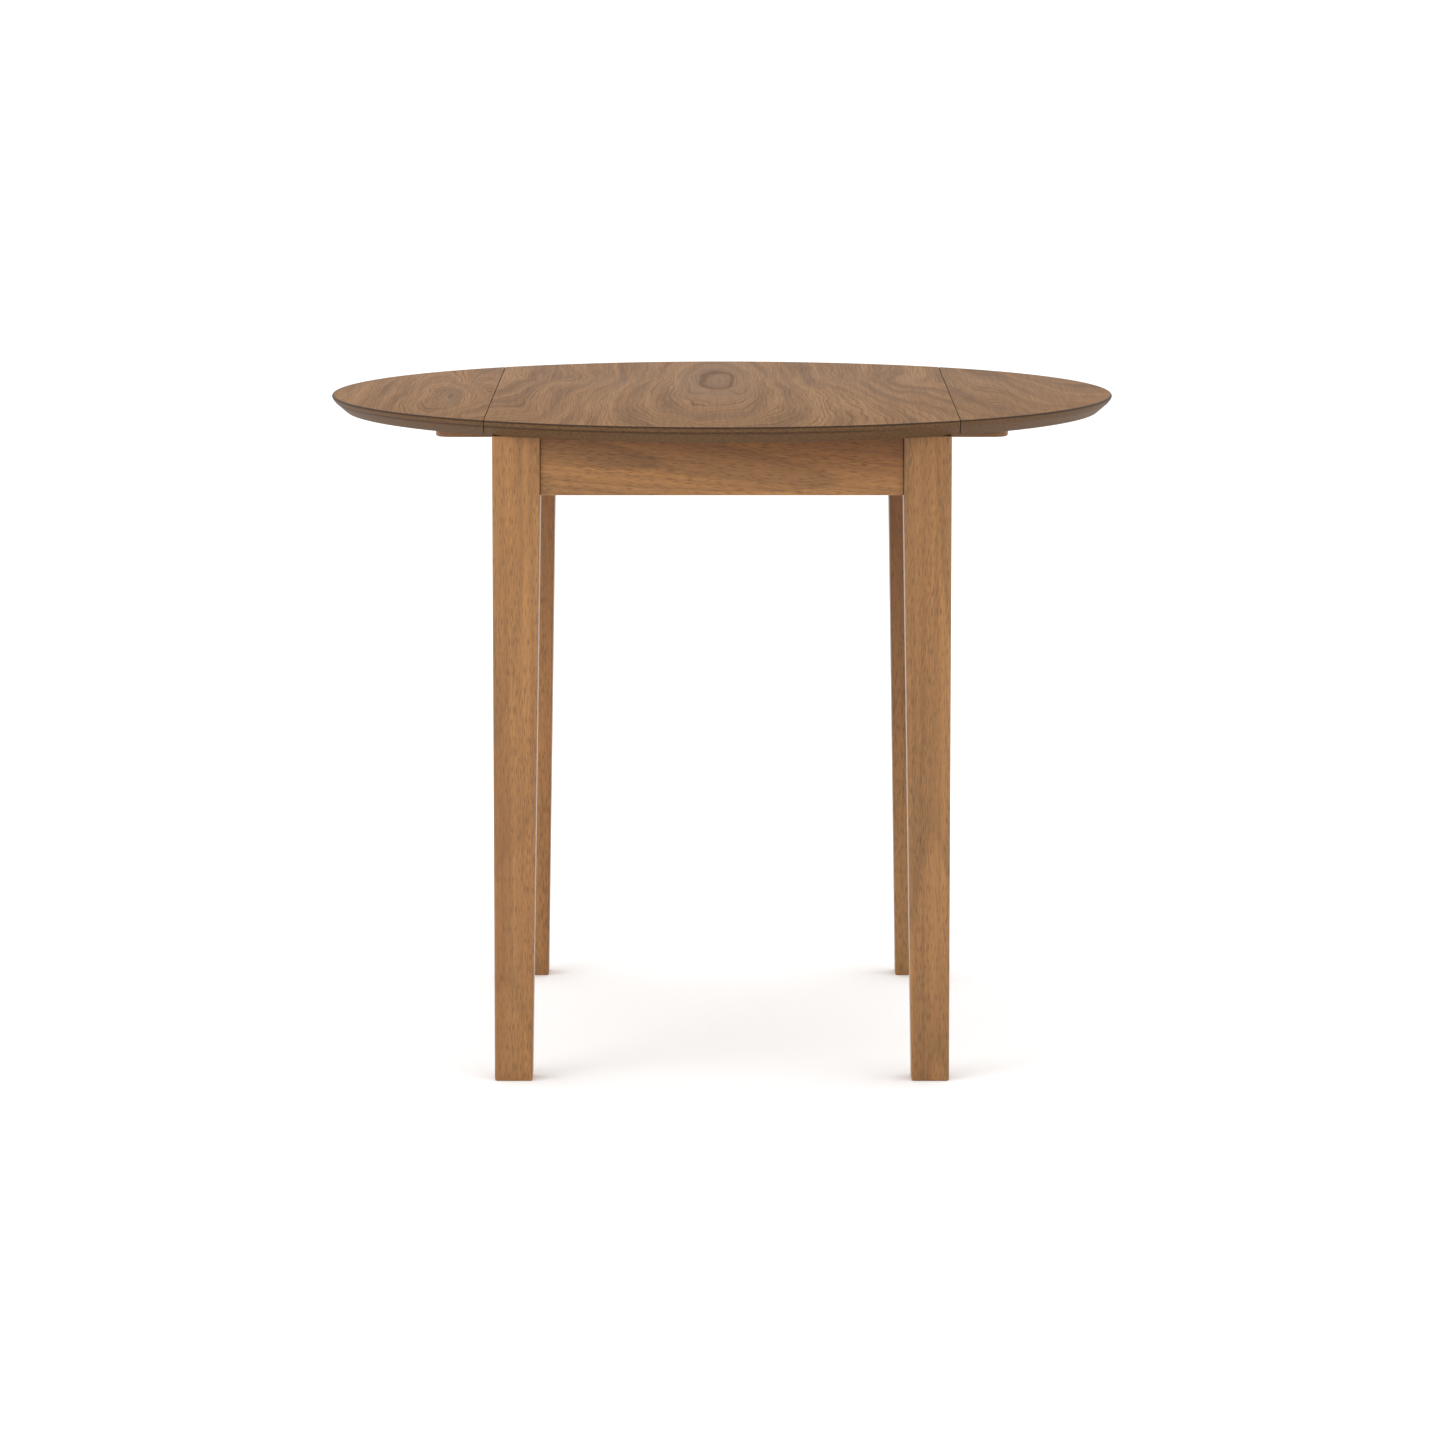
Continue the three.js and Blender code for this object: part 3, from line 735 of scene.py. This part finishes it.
apronShape = {
    "arris": 1.1 * mm,
    "windowArris": 0.8 * mm,
    "arcs": 0.6,
    "endTone": 0.86,
    "endSlant": -6,
    # painted shade under the top's overhang along the upper edge, partly a darker streak of the board: where
    # it starts, where it is full, and how much it tilts
    "knotCoreAndPaintedShade": (0.660, 0.735, 0.9),
    # room for the bar in a side apron: under it, behind it when it is across, and at the window's far end
    "roomUnder": 1.5 * mm,
    "roomBehind": 0.5 * mm,
    "roomEnd": 1.8 * mm,
    "flapThickness": 1.6 * mm,
    "flapRoom": 0.5 * mm,
}


def makeEndAprons():
    look = apronShape
    for number, end in enumerate(ends):
        node = f"apron_{end}"
        low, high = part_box(node)
        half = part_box(f"leg_{end}_right")[0].x
        outline = [(low.z, -half), (low.z, half), (high.z, half), (high.z, -half)]
        piece = board(f"apron{end.title()}", outline, low.y, high.y, normal="y")
        plank = (0.4 + number, 5.3 + 2 * number, 1.7)
        # the end aprons get the painted shade along their upper edge
        wood = makeFrameWood(f"endApronWood{number}", "x", plank, arcs=look["arcs"], tone=look["endTone"],
                             knotCoreAndPaintedShade=look["knotCoreAndPaintedShade"], slant=look["endSlant"])
        paint(piece, wood)
        soften(piece, look["arris"])
        place(piece, "frame", "frame_wood", node)


def makeSideAprons():
    look = apronShape
    barLow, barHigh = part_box("support_bar")
    windows = {opening["name"]: opening["box_m"] for opening in frame["record"]["physics"]["openings"]}
    half = -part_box("leg_front_right")[1].y
    sill = barLow.z - look["roomUnder"]
    for number, (side, sign) in enumerate(sides.items()):
        node = f"apron_{side}"
        low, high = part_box(node)
        start = -sign * (barHigh.y + look["roomBehind"])
        end = windows[f"bar_window_{side}"][1 if sign > 0 else 0][1] + sign * look["roomEnd"]
        outline = [(-sign * half, low.z), (sign * half, low.z), (sign * half, high.z), (end, high.z),
                   (end, sill), (start, sill), (start, high.z), (-sign * half, high.z)]
        if sign < 0:
            outline.reverse()
        piece = board(f"apron{side.title()}", outline, low.x, high.x, normal="x")
        for i in (1, 2):
            cutHousing(piece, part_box(f"hinge_flap_fixed_{side}_{i}"), high.z)
        plank = (2.4 + number, 3.3 + 2 * number, 0.7)
        paint(piece, makeFrameWood(f"sideApronWood{number}", "y", plank, arcs=look["arcs"]))
        soften(piece, look["windowArris"], segments=2)
        place(piece, "frame", "frame_wood", node)


# a hinge flap's place in the top of an apron
def cutHousing(piece, flap, top):
    look = apronShape
    low, high = flap
    room = look["flapRoom"]
    size = (high.x - low.x + 2 * room, high.y - low.y + 2 * room, 2 * (look["flapThickness"] + room))
    middle = Vector(((low.x + high.x) / 2, (low.y + high.y) / 2, top))
    tool = bmesh.new()
    bmesh.ops.create_cube(tool, size=1)
    fit = Matrix.Translation(middle) @ Matrix.Diagonal((*size, 1))
    bmesh.ops.transform(tool, matrix=fit, verts=tool.verts)
    mesh = bpy.data.meshes.new("housingTool")
    tool.to_mesh(mesh)
    tool.free()
    cutAway(piece, linkPiece("housingTool", mesh))


makeEndAprons()
makeSideAprons()
print("aprons done")


# braces, centre rail, ramps and the support bar

braceShape = {"thickness": 15 * mm, "arris": 0.8 * mm, "tone": 0.93}


def makeBraces():
    look = braceShape
    across = look["thickness"] * sqrt(2)
    for number, (end, side, endSign, sideSign) in enumerate(tableCorners, 1):
        node = f"corner_brace_{end}_{side}"
        low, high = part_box(node)
        innerX, outerX = (low.x, high.x) if sideSign > 0 else (high.x, low.x)
        innerY, outerY = (low.y, high.y) if endSign > 0 else (high.y, low.y)
        outline = [
            (outerX, innerY), (outerX, innerY + endSign * across),
            (innerX + sideSign * across, outerY), (innerX, outerY),
        ]
        if sideSign * endSign < 0:
            outline.reverse()
        piece = board(f"cornerBrace{end.title()}{side.title()}", outline, low.z, high.z)
        plank = (1.3 * number, 0.7 * number, 2.2)
        paint(piece, makeFrameWood(f"braceWood{number}", "x", plank, tone=look["tone"]))
        soften(piece, look["arris"], segments=2)
        place(piece, "frame", "frame_wood", node)


railShape = {"arris": 0.9 * mm, "tone": 0.95, "plank": (5.1, 2.7, 0.3)}


def makeRail():
    look = railShape
    low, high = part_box("centre_rail")
    outline = [(low.x, low.y), (high.x, low.y), (high.x, high.y), (low.x, high.y)]
    piece = board("centreRail", outline, low.z, high.z)
    paint(piece, makeFrameWood("railWood", "y", look["plank"], tone=look["tone"]))
    soften(piece, look["arris"], segments=2)
    place(piece, "frame", "frame_wood", "centre_rail")


rampShape = {"slope": 0.25, "arris": 0.6 * mm, "tone": 0.9}


def makeRamps():
    look = rampShape
    for number, (side, sign) in enumerate(sides.items()):
        node = f"leaf_ramp_{side}"
        low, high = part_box(node)
        rise = look["slope"] * (high.y - low.y)
        thickEnd, thinEnd = (low.y, high.y) if sign > 0 else (high.y, low.y)
        outline = [(thickEnd, low.z), (thinEnd, low.z + rise), (thinEnd, high.z), (thickEnd, high.z)]
        if sign < 0:
            outline.reverse()
        piece = board(f"leafRamp{side.title()}", outline, low.x, high.x, normal="x")
        plank = (6.1 + number, 1.7, 0.9)
        paint(piece, makeFrameWood(f"rampWood{number}", "y", plank, tone=look["tone"]))
        soften(piece, look["arris"], segments=2)
        place(piece, f"{side}_leaf", "frame_wood", node)


supportBar = {
    "underRound": 2.2 * mm,
    "topRound": 1.1 * mm,
    "endSteps": 24,
    "boreRoom": 0.1 * mm,
    "tone": 0.78,
    "plank": (8.2, 0.4, 3.1),
}


def makeBar():
    look = supportBar
    low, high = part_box("support_bar")
    radius = (high.y - low.y) / 2
    reach = high.x - radius
    under, top = look["underRound"], look["topRound"]

    def ring(level, shrink):
        points = []
        end = radius - shrink
        for sign in (1, -1):
            for step in range(look["endSteps"] + 1):
                angle = pi * step / look["endSteps"] - sign * pi / 2
                points.append((sign * reach + end * cos(angle), end * sin(angle), level))
        return points

    rings = [ring(low.z, under), ring(low.z + under * 0.3, under * 0.3), ring(low.z + under, 0)]
    rings += [ring(high.z - top, 0), ring(high.z, top)]
    piece = loft("supportBar", rings)
    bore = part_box("pivot_bush")[1].x + look["boreRoom"]
    cutAway(piece, turned("boreTool", [(bore, low.z - 5 * mm), (bore, high.z + 5 * mm)]))
    paint(piece, makeFrameWood("barWood", "x", look["plank"], tone=look["tone"]))
    smooth(piece, 38)
    place(piece, "support", "bar_wood", "support_bar")


makeBraces()
makeRail()
makeRamps()
makeBar()
print("braces, rail, ramps and bar done")


# bolts, nuts and washers, with chamfers and threads that show

bolts = {
    "radius": 4.0 * mm,
    "pitch": 1.25 * mm,
    "depth": 0.55 * mm,
    "play": 0.05 * mm,
    "hangerThread": 0.6,  # share of a hanger bolt that is threaded
}
pivotBolt = {
    "plain": 22 * mm,  # length under the top of the head that has no thread
    "headHeight": 4.5 * mm,
    "headEase": 0.3 * mm,
    "dome": ((1, 2.6 * mm), (0.86, 1.0 * mm), (0.6, 0.2 * mm), (0.3, 0)),  # share of its radius, depth
    "sleeveBore": 4.3 * mm,  # of the washers and the bush
    "sleeveChamfer": 0.25 * mm,
}
nuts = {"across": 13 * mm, "height": 6.5 * mm, "bore": 4.15 * mm, "chamfer": 0.93, "segments": 48}


def threadProfile(start, end, radius):
    look = bolts
    profile = [(radius - look["depth"], start)]
    level = start + look["depth"]
    while level + look["pitch"] < end:
        profile += [(radius, level), (radius - look["depth"], level + look["pitch"] / 2)]
        level += look["pitch"]
    return profile + [(radius, level)]


# moves a mesh made round the z axis to a node's middle, and turns it outwards to the table's corner
def pointOutwards(piece, node, endSign, sideSign, setBack):
    low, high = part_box(node)
    direction = Vector((sideSign, endSign, 0)).normalized()
    turn = Vector((0, 0, 1)).rotation_difference(direction).to_matrix().to_4x4()
    piece.data.transform(Matrix.Translation((low + high) / 2) @ turn @ Matrix.Translation((0, 0, -setBack)))


def makeHangerBolts():
    look = bolts
    shank = look["radius"] - look["play"]
    for end, side, endSign, sideSign in tableCorners:
        node = f"hanger_bolt_{end}_{side}"
        low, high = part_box(node)
        length = (high.x - low.x) * sqrt(2) - 2 * look["radius"]
        profile = threadProfile(0, length * look["hangerThread"], shank) + [(shank, length)]
        piece = turned(f"hangerBolt{end.title()}{side.title()}", profile)
        pointOutwards(piece, node, endSign, sideSign, length / 2)
        paint(piece, steel)
        place(piece, "frame", "steel", node)


def hexNut(name, height):
    look = nuts
    segments = look["segments"]
    corner = look["across"] / sqrt(3)
    rings = []
    for share, chamfer in ((0, look["chamfer"]), (0.12, 1), (0.88, 1), (1, look["chamfer"])):
        ring = []
        for i in range(segments):
            angle = tau * i / segments
            fromFlat = (angle + pi / 6) % (pi / 3) - pi / 6
            radius = min(look["across"] / 2 / cos(fromFlat), corner * chamfer)
            ring.append((radius * cos(angle), radius * sin(angle), share * height))
        rings.append(ring)
    rings += [circle(look["bore"], level, segments) for level in (height, 0)]
    return bored(name, rings, 25)


def makeNuts():
    look = nuts
    for end, side, endSign, sideSign in tableCorners:
        node = f"hanger_nut_{end}_{side}"
        piece = hexNut(f"hangerNut{end.title()}{side.title()}", look["height"])
        pointOutwards(piece, node, endSign, sideSign, look["height"] / 2)
        paint(piece, steel)
        place(piece, "frame", "steel", node)
    low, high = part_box("pivot_nut")
    piece = hexNut("pivotNut", high.z - low.z)
    piece.data.transform(Matrix.Translation((0, 0, low.z)))
    paint(piece, steel)
    place(piece, "frame", "steel", "pivot_nut")


# a washer or bush round the pivot
def makeSleeve(name, node, material, body, slotName):
    bore, chamfer = pivotBolt["sleeveBore"], pivotBolt["sleeveChamfer"]
    low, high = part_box(node)
    outer = (high.x - low.x) / 2
    section = [(outer - chamfer, low.z), (outer, low.z + chamfer), (outer, high.z - chamfer),
               (outer - chamfer, high.z), (bore, high.z), (bore, low.z)]
    piece = bored(name, [circle(radius, level, 48) for radius, level in section], 28)
    paint(piece, material)
    place(piece, body, slotName, node)


def makePivot():
    look = pivotBolt
    low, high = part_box("pivot_bolt")
    head = (high.x - low.x) / 2
    shank = bolts["radius"] - bolts["play"]
    seat = high.z - look["headHeight"]
    profile = threadProfile(low.z, high.z - look["plain"], shank)
    profile += [(shank, seat), (head - look["headEase"], seat), (head, seat + look["headEase"])]
    profile += [(head * share, high.z - down) for share, down in look["dome"]]
    piece = turned("pivotBolt", profile)
    paint(piece, steel)
    place(piece, "frame", "steel", "pivot_bolt")
    makeSleeve("pivotWasherUpper", "pivot_washer_upper", steel, "frame", "steel")
    makeSleeve("pivotWasherLower", "pivot_washer_lower", steel, "frame", "steel")
    makeSleeve("pivotBush", "pivot_bush", brass, "support", "brass")


makeHangerBolts()
makeNuts()
makePivot()
print("bolts and nuts done")


# hinges and brackets keep their solids, with eased edges, and get screws

hardware = {"arris": 0.2 * mm, "segments": 2, "angle": 50}


def dressHardware():
    look = hardware
    for name, node in frame["nodes"].items():
        if name.startswith(("hinge_", "top_bracket_")):
            node.data.materials.clear()
            paint(node, steel)
            if not name.startswith("hinge_pin"):
                bevelEdges(node, look["arris"], look["segments"], look["angle"])


screws = {
    "headRadius": 3.4 * mm,
    "headDepth": 1.2 * mm,
    "taper": 0.42,  # share of the head's radius at its foot
    "segments": 28,
    "crossArm": 1.9 * mm,
    "crossWidth": 0.45 * mm,
    "crossRise": 0.12 * mm,
    "crossTaper": 0.7,
    "recess": 0.8 * mm,
    "spin": 0.7,  # how much further each screw is turned than the one before
}
screwPlaces = {
    "flapWidth": 30 * mm,
    "flapLength": 60 * mm,
    "flapThickness": 1.6 * mm,
    "knuckle": 2.6 * mm,  # from the flap's hinge side to where its plate starts
    "flapPattern": ((0.62, -0.34), (0.38, 0), (0.62, 0.34)),  # shares of the flap's width and length
    "flapSink": 0.1 * mm,
    "bracketInset": 7.5 * mm,
    "bracketArm": 15 * mm,
    "bracketThickness": 2.1 * mm,
    "railInset": 15 * mm,
    "railRows": (-0.25, -0.09, 0.09, 0.25),
    "railSink": 0.05 * mm,
}


# a countersunk head with a cross recess, its face up
def screwMesh():
    look = screws
    shape = bmesh.new()
    rim = [shape.verts.new(point) for point in circle(look["headRadius"], 0, look["segments"])]
    narrow = look["taper"]
    foot = [shape.verts.new((v.co.x * narrow, v.co.y * narrow, -look["headDepth"])) for v in rim]
    arm, half, taper = look["crossArm"], look["crossWidth"], look["crossTaper"]
    cross = [(arm, -half), (arm, half), (half, half), (half, arm), (-half, arm), (-half, half),
             (-arm, half), (-arm, -half), (-half, -half), (-half, -arm), (half, -arm), (half, -half)]
    upper = [shape.verts.new((x, y, look["crossRise"])) for x, y in cross]
    lower = [shape.verts.new((x * taper, y * taper, -look["recess"])) for x, y in cross]
    edges = []
    for loop in (rim, upper):
        edges += [shape.edges.new((loop[i], loop[(i + 1) % len(loop)])) for i in range(len(loop))]
    bmesh.ops.triangle_fill(shape, use_beauty=True, edges=edges, normal=(0, 0, 1))
    for loop, under in ((rim, foot), (lower, upper)):
        for i in range(len(loop)):
            j = (i + 1) % len(loop)
            shape.faces.new((loop[i], under[i], under[j], loop[j]))
    shape.faces.new(lower)
    shape.faces.new(list(reversed(foot)))
    bmesh.ops.recalc_face_normals(shape, faces=shape.faces)
    mesh = bpy.data.meshes.new("screwShape")
    shape.to_mesh(mesh)
    shape.free()
    return mesh


# one piece with a screw head at each point, facing along its direction
def screwSet(name, points, body):
    pattern = screwMesh()
    shape = bmesh.new()
    for number, (point, direction) in enumerate(points):
        start = len(shape.verts)
        shape.from_mesh(pattern)
        shape.verts.ensure_lookup_table()
        turn = Vector((0, 0, 1)).rotation_difference(Vector(direction)).to_matrix().to_4x4()
        spin = Matrix.Rotation(screws["spin"] * number, 4, "Z")
        seat = Matrix.Translation(point) @ turn @ spin
        bmesh.ops.transform(shape, matrix=seat, verts=shape.verts[start:])
    mesh = bpy.data.meshes.new(name)
    shape.to_mesh(mesh)
    shape.free()
    bpy.data.meshes.remove(pattern)
    piece = linkPiece(name, mesh)
    paint(piece, screwSteel)
    place(piece, body, "steel")


def flapScrews(kind, side):
    look = screwPlaces
    direction = sides[side] if kind == "moving" else -sides[side]
    points = []
    for i in (1, 2):
        low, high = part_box(f"hinge_flap_{kind}_{side}_{i}")
        plate = (high.x if direction < 0 else low.x) + direction * look["knuckle"]
        level = high.z - look["flapThickness"] - look["flapSink"]
        for across, along in look["flapPattern"]:
            x = plate + direction * look["flapWidth"] * across
            y = (low.y + high.y) / 2 + look["flapLength"] * along
            points.append(((x, y, level), (0, 0, -1)))
    return points


def bracketScrews(end):
    look = screwPlaces
    sign = ends[end]
    points = []
    for i in (1, 2):
        low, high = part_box(f"top_bracket_{end}_{i}")
        wall = high.y if sign > 0 else low.y
        for x in (low.x + look["bracketInset"], high.x - look["bracketInset"]):
            underTop = (x, wall - sign * look["bracketArm"], high.z - look["bracketThickness"])
            onApron = (x, wall - sign * look["bracketThickness"], high.z - look["bracketArm"])
            points += [(underTop, (0, 0, -1)), (onApron, (0, -sign, 0))]
    return points


def railScrews():
    look = screwPlaces
    low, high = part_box("centre_rail")
    level = low.z - look["railSink"]
    columns = (low.x + look["railInset"], high.x - look["railInset"])
    return [((x, y, level), (0, 0, -1)) for y in look["railRows"] for x in columns]


def makeScrews():
    for side in sides:
        screwSet(f"leafScrews{side.title()}", flapScrews("moving", side), f"{side}_leaf")
        screwSet(f"hingeScrews{side.title()}", flapScrews("fixed", side), "frame")
    screwSet("frameScrews", bracketScrews("front") + bracketScrews("back") + railScrews(), "frame")


dressHardware()
makeScrews()
print("hinges, brackets and screws done")
